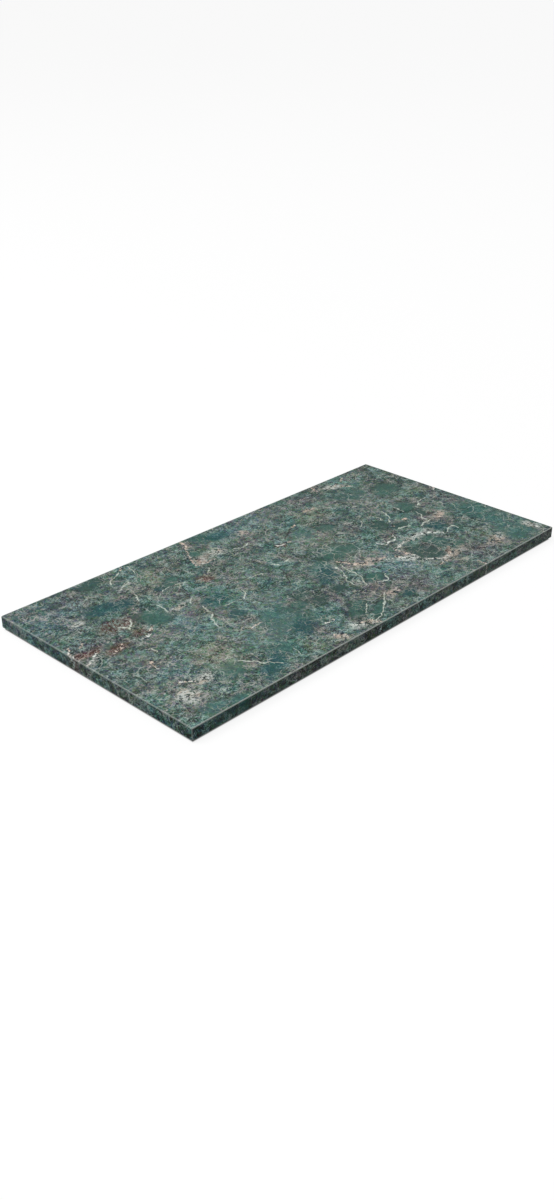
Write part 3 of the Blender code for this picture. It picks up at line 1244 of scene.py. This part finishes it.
bite = stone.modifiers.new("chips", "BOOLEAN")
bite.operation = "DIFFERENCE"
bite.solver = "EXACT"
bite.material_mode = "TRANSFER"
bite.object = pebbles
applied(stone)
bpy.data.objects.remove(pebbles)
stone.data.shade_smooth()
stone.data.set_sharp_from_angle(angle=SHARP_ON_STONE)
even = stone.modifiers.new("flat_faces_lead", "WEIGHTED_NORMAL")
even.keep_sharp = True
print("stone:", len(stone.data.polygons), "faces,", [m.name for m in stone.data.materials])

# %% [markdown]
# ## The stone's map
#
# The nodes can be drawn into pictures, and a map says which part of the picture each face gets. An
# automatic map would give the hidden underside as much room as the polished face. This one is laid out
# in given bands: the top takes most of the square, the sides lie in strips above it, and the underside
# is squeezed into what is left.

# %% Stone map
GUTTER = 0.004
ENDS_GAP = 0.01
STEEP = 0.72
# Each band of the map: where it starts and where it stops, up the square.
MAP_BANDS = {
    "top": (0.0, 0.78),
    "front": (0.78, 0.83),
    "back": (0.83, 0.88),
    "ends": (0.88, 0.93),
    "under": (0.93, 1.0),
}


def band_of(normal):
    """The band for a face, from the way it faces."""
    if abs(normal.z) > STEEP:
        return "top" if normal.z > 0 else "under"
    if abs(normal.y) >= abs(normal.x):
        return "front" if normal.y < 0 else "back"
    return "ends"


def lay_out_map(thing):
    """Top, underside, two long sides and two short sides, each in its own band."""
    mesh = thing.data
    layer = mesh.uv_layers.new(name="OFBake")
    low, size = stone_low, stone_high - stone_low
    for face in mesh.polygons:
        band = band_of(face.normal)
        right_end = face.normal.x >= 0
        start, stop = MAP_BANDS[band]
        for corner in face.loop_indices:
            spot = mesh.vertices[mesh.loops[corner].vertex_index].co - low
            across, deep, tall = spot.x / size.x, spot.y / size.y, spot.z / size.z
            if band in ("top", "under"):
                u, v = across, deep
            elif band == "ends":
                u, v = (deep / 2 + 0.5 * right_end) * (1 - ENDS_GAP) + ENDS_GAP * right_end, tall
            else:
                u, v = across, tall
            u = GUTTER + u * (1 - 2 * GUTTER)
            v = start + GUTTER + v * (stop - start - 2 * GUTTER)
            layer.data[corner].uv = (u, v)
    layer.active_render = True


lay_out_map(stone)
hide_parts("stone_slab")
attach(stone, BODY)
print("stone map: the top has", round(100 * MAP_BANDS["top"][1]), "% of the square's height")

# %% [markdown]
# ## The resin bed
#
# A heavily veined stone could snap along a vein, so its back is brushed with clear resin and a
# glass-fibre net is pressed in. The cured bed is a thin wet-looking skin with a wavering, trimmed
# edge. It could be a flat ring of points that is extruded. Here the ring is laid twice, once at each
# level, and the faces between are made one by one, which gives them the same order on every run. The
# stone shows through the resin, dulled and yellowed, so its material takes the figure again.

# %% Resin bed
RESIN_BOTTOM = net_low.z + 0.16 * MM
RESIN_TOP = stone_low.z - 0.02 * MM
RESIN_WAVER = 0.8 * MM
RESIN_STEP = 6 * MM
RESIN_SEED = 11
RESIN_IOR = 1.54
NET_CORNER = 6 * MM
CORNER_STEP = 15


def between(start, end, step):
    """Evenly spaced points between two others, about a step apart."""
    gap = end - start
    count = max(1, round(gap.length / step))
    return [start + gap * (k / count) for k in range(1, count)]


def rounded_outline(low, high, radius, step):
    """Points round a rectangle with round corners, anticlockwise from above."""
    points = []
    corners = (
        (high.x - radius, low.y + radius, -90),
        (high.x - radius, high.y - radius, 0),
        (low.x + radius, high.y - radius, 90),
        (low.x + radius, low.y + radius, 180),
    )
    for x, y, start in corners:
        arc = [
            Vector((x + radius * math.cos(math.radians(a)), y + radius * math.sin(math.radians(a))))
            for a in range(start, start + 91, CORNER_STEP)
        ]
        if points:
            points += between(points[-1], arc[0], step)
        points += arc
    return points + between(points[-1], points[0], step)


def make_resin_material():
    """Dulled stone under clear resin, with milky streaks left by the brush."""
    material, tree, shader, where = new_material("cured_resin")
    figure = place_group(tree, granite_group, Position=where, Veining=0.6)
    stained = blend(tree, 1.0, figure["Color"], (0.78, 0.80, 0.66, 1.0), "MULTIPLY")
    brushed = tree.nodes.new("ShaderNodeMapping")
    brushed.inputs["Scale"].default_value = (0.12, 1.0, 1.0)
    feed(tree, brushed.inputs["Vector"], where)
    streaks = noise(tree, brushed.outputs[0], 7 * MM, 4.0, 0.6)
    milk = ramp(tree, streaks, 0.42, 0.72, 0.05, 0.34)
    feed(tree, shader.inputs["Base Color"], blend(tree, milk, stained, swatch(176, 178, 156)))
    feed(tree, shader.inputs["Roughness"], ramp(tree, streaks, 0.35, 0.70, 0.16, 0.34))
    roughen(tree, shader, streaks, 0.35, 0.2 * MM)
    shader.inputs["IOR"].default_value = RESIN_IOR
    return material


def make_resin_bed():
    """A skin of resin with a wavering edge, between the net and the stone."""
    draw = random.Random(RESIN_SEED)
    ring = []
    for point in rounded_outline(net_low, net_high, NET_CORNER, RESIN_STEP):
        inward = -point.normalized() * draw.uniform(0.0, RESIN_WAVER)
        ring.append((point.x + inward.x, point.y + inward.y))
    shape = bmesh.new()
    under = [shape.verts.new((x, y, RESIN_BOTTOM)) for x, y in ring]
    over = [shape.verts.new((x, y, RESIN_TOP)) for x, y in ring]
    shape.faces.new(reversed(under))
    shape.faces.new(over)
    for k in range(len(ring)):
        shape.faces.new((under[k - 1], under[k], over[k], over[k - 1]))
    return make_object("resin_bed", shape, make_resin_material())


resin_bed = make_resin_bed()
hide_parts("net_backing")
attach(resin_bed, BODY)
print("resin bed:", round((RESIN_TOP - RESIN_BOTTOM) / MM, 2), "mm thick")

# %% [markdown]
# ## The glass-fibre net
#
# The net is a plain weave of flat bundles of glass fibre, called rovings, a few millimetres apart.
# Each roving passes over one neighbour and under the next. A weave is two strands, one a half-step out
# of phase with the other, repeated: so one mesh holds such a pair, and an Array modifier repeats the
# pair across the slab. The lengthwise and the crosswise rovings are two objects, because each set has
# a phase that lets the other pass.

# %% Net
WEAVE = 6.0 * MM
ROVING_WIDTH = 1.5 * MM
ROVING_THICKNESS = 0.10 * MM
WEAVE_LIFT = 0.07 * MM
WEAVE_MIDDLE = net_low.z + 0.13 * MM
NET_INSET = 3.0 * MM
STEPS_PER_CROSSING = 4


def make_net_material():
    """Whitish glass fibre, with fine threads along it and resin soaked into it."""
    material, tree, shader, where = new_material("glass_fibre")
    threads = noise(tree, where, 0.35 * MM, 2.0, 0.6)
    soaked = noise(tree, where, 18 * MM, 3.0, 0.6, shift=3.0)
    dry = blend(tree, ramp(tree, threads, 0.35, 0.65), swatch(196, 198, 182), swatch(226, 228, 216))
    wet = blend(tree, ramp(tree, soaked, 0.45, 0.65, 0.0, 0.45), dry, swatch(150, 156, 134))
    feed(tree, shader.inputs["Base Color"], wet)
    feed(tree, shader.inputs["Roughness"], ramp(tree, soaked, 0.40, 0.65, 0.50, 0.28))
    roughen(tree, shader, threads, 0.5, 0.05 * MM)
    return material


def make_rovings(name, along, across, first_phase, material):
    """Rovings that run from low to high along one direction, repeated over the other."""
    start, stop = net_low[along] + NET_INSET, net_high[along] - NET_INSET
    crossings = round((stop - start) / WEAVE)
    rows = round((net_high[across] - net_low[across] - 2 * NET_INSET) / WEAVE)
    steps = crossings * STEPS_PER_CROSSING
    shape = bmesh.new()
    half_width, half_thick = ROVING_WIDTH / 2, ROVING_THICKNESS / 2
    section = ((-half_width, 0.0), (0.0, half_thick), (half_width, 0.0), (0.0, -half_thick))
    for strand in range(2):
        middle = net_low[across] + NET_INSET + strand * WEAVE
        rings = []
        for step in range(steps + 1):
            travel = step / STEPS_PER_CROSSING
            height = WEAVE_LIFT * math.cos(math.pi * (travel + strand + first_phase))
            ring = []
            for wide, thick in section:
                spot = [0.0, 0.0, WEAVE_MIDDLE + height + thick]
                spot[along] = start + (stop - start) * step / steps
                spot[across] = middle + wide
                ring.append(shape.verts.new(spot))
            rings.append(ring)
        for near, far in zip(rings, rings[1:]):
            for k in range(len(section)):
                after = (k + 1) % len(section)
                shape.faces.new((near[k], near[after], far[after], far[k]))
        shape.faces.new(reversed(rings[0]))
        shape.faces.new(rings[-1])
    bmesh.ops.recalc_face_normals(shape, faces=shape.faces)
    rovings = make_object(name, shape, material)
    rovings.data.shade_smooth()
    repeat = rovings.modifiers.new("pairs", "ARRAY")
    repeat.use_relative_offset = False
    repeat.use_constant_offset = True
    spacing = [0.0, 0.0, 0.0]
    spacing[across] = 2 * WEAVE
    repeat.constant_offset_displace = spacing
    repeat.count = (rows + 1) // 2
    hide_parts("net_backing")
    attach(rovings, BODY)
    print(name, ":", 2 * repeat.count, "rovings of", crossings, "crossings")


glass_fibre = make_net_material()
make_rovings("net_lengthwise_rovings", 0, 1, 0.0, glass_fibre)
make_rovings("net_crosswise_rovings", 1, 0, 1.0, glass_fibre)

# %% [markdown]
# ## The rubber feet
#
# Six low self-adhesive feet keep the slab from sliding and from marking the bench. Each is moulded
# rubber with a soft rim and shallow grip rings in its sole, stuck on by a disc of adhesive film. Both
# are turned shapes. A Screw modifier turns an outline round the Z axis, which keeps the outline easy to
# read and to change.

# %% Rubber and adhesive materials
def make_rubber_material():
    """Black moulded rubber, greyed by dust, finely pitted."""
    material, tree, shader, where = new_material("moulded_rubber")
    pits = noise(tree, where, 0.5 * MM, 3.0, 0.7)
    dust = noise(tree, where, 6 * MM, 4.0, 0.65, shift=5.0)
    grey = blend(tree, ramp(tree, dust, 0.45, 0.70, 0.0, 0.6), swatch(26, 26, 27), swatch(74, 73, 70))
    pitted = blend(tree, ramp(tree, pits, 0.55, 0.35, 0.0, 0.4), grey, swatch(14, 14, 14))
    feed(tree, shader.inputs["Base Color"], pitted)
    feed(tree, shader.inputs["Roughness"], ramp(tree, dust, 0.40, 0.70, 0.62, 0.88))
    roughen(tree, shader, pits, 0.5, 0.08 * MM)
    return material


def make_adhesive_material():
    """A milky double-sided film with tiny trapped bubbles."""
    material, tree, shader, where = new_material("adhesive_film")
    bubbles = cells(tree, where, 1.2 * MM)
    milky = blend(tree, ramp(tree, bubbles, 0.30, 0.12), swatch(196, 192, 176), swatch(222, 220, 208))
    feed(tree, shader.inputs["Base Color"], milky)
    feed(tree, shader.inputs["Roughness"], ramp(tree, bubbles, 0.10, 0.40, 0.20, 0.42))
    return material


rubber = make_rubber_material()
adhesive = make_adhesive_material()
print("feet materials:", rubber.name, "and", adhesive.name)

# %% Feet
FOOT_STEPS = 56
RIM_EASE = 0.35 * MM
GRIP_RINGS = 3
GRIP_DEPTH = 0.30 * MM
GRIP_WIDTH = 1.1 * MM
FILM_INSET = 0.6 * MM
AXIS_MERGE = 0.00001
SHARP_ON_FEET = math.radians(35)


def turned(name, outline, place, material):
    """A solid of revolution about Z, from an outline that runs from its top centre out, down and in."""
    shape = bmesh.new()
    points = [shape.verts.new((across, 0.0, height)) for across, height in outline]
    for above, below in zip(points, points[1:]):
        shape.edges.new((above, below))
    piece = make_object(name, shape)
    piece.location = place
    turn = piece.modifiers.new("turned", "SCREW")
    turn.axis = "Z"
    turn.angle = math.tau
    turn.steps = FOOT_STEPS
    turn.render_steps = FOOT_STEPS
    turn.use_merge_vertices = True
    turn.merge_threshold = AXIS_MERGE
    applied(piece)
    piece.data.materials.clear()
    piece.data.materials.append(material)
    piece.data.shade_smooth()
    piece.data.set_sharp_from_angle(angle=SHARP_ON_FEET)
    return piece


def foot_outline(radius, height):
    """Half a foot: a flat top, an eased rim, and a sole with grip rings."""
    flat = radius - RIM_EASE
    outline = [(0.0, height), (flat, height)]
    for level, angles in ((height - RIM_EASE, (60, 30, 0)), (RIM_EASE, (0, -30, -60, -90))):
        for angle in angles:
            turn = math.radians(angle)
            outline.append((flat + RIM_EASE * math.cos(turn), level + RIM_EASE * math.sin(turn)))
    for ring in range(GRIP_RINGS):
        middle = flat - (ring + 0.9) * flat / (GRIP_RINGS + 1)
        for share, depth in ((0.5, 0.0), (0.25, GRIP_DEPTH), (-0.25, GRIP_DEPTH), (-0.5, 0.0)):
            outline.append((middle + share * GRIP_WIDTH, depth))
    outline.append((0.0, 0.0))
    return outline


def make_foot(node):
    """One foot and its adhesive disc, in the place of its CAD node."""
    low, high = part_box(node)
    place = Vector(((low.x + high.x) / 2, (low.y + high.y) / 2, low.z))
    radius, height = (high.x - low.x) / 2, high.z - low.z
    pad = turned(node + "_pad", foot_outline(radius, height), place, rubber)
    film_radius = radius - FILM_INSET
    film_height = net_low.z - height
    film = turned(
        node + "_adhesive",
        ((0.0, film_height), (film_radius, film_height), (film_radius, 0.0), (0.0, 0.0)),
        place + Vector((0.0, 0.0, height)),
        adhesive,
    )
    for piece in (pad, film):
        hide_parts(node)
        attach(piece, BODY)
    return pad


feet = [make_foot(node) for node in sorted(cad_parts) if node.startswith("foot_")]
print(len(feet), "feet, each", len(feet[0].data.polygons), "faces")
